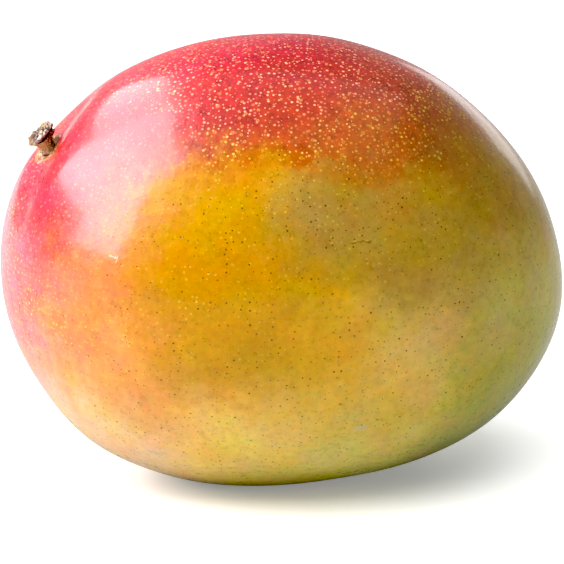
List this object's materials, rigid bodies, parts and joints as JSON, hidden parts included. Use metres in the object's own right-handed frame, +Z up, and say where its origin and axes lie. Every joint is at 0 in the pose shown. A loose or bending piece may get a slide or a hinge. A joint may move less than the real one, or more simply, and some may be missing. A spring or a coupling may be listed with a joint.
{
  "type": "mango",
  "caption": "Whole ripe mango lying on a small flat spot, with a short stub of stalk in the pit at its stem end.",
  "frame": {"origin": "on the surface that the fruit rests on, under the middle of its box", "axes": "+X along the longest way across the fruit, from the stem end to the tip; +Y through the far cheek; +Z up"},
  "size_m": [0.12, 0.0884, 0.0963],
  "materials": {
    "skin": "satin",
    "stalk": "matte"
  },
  "bodies": {
    "root": {"fruit": "skin", "stem_stub": "stalk"}
  },
  "joints": []
}
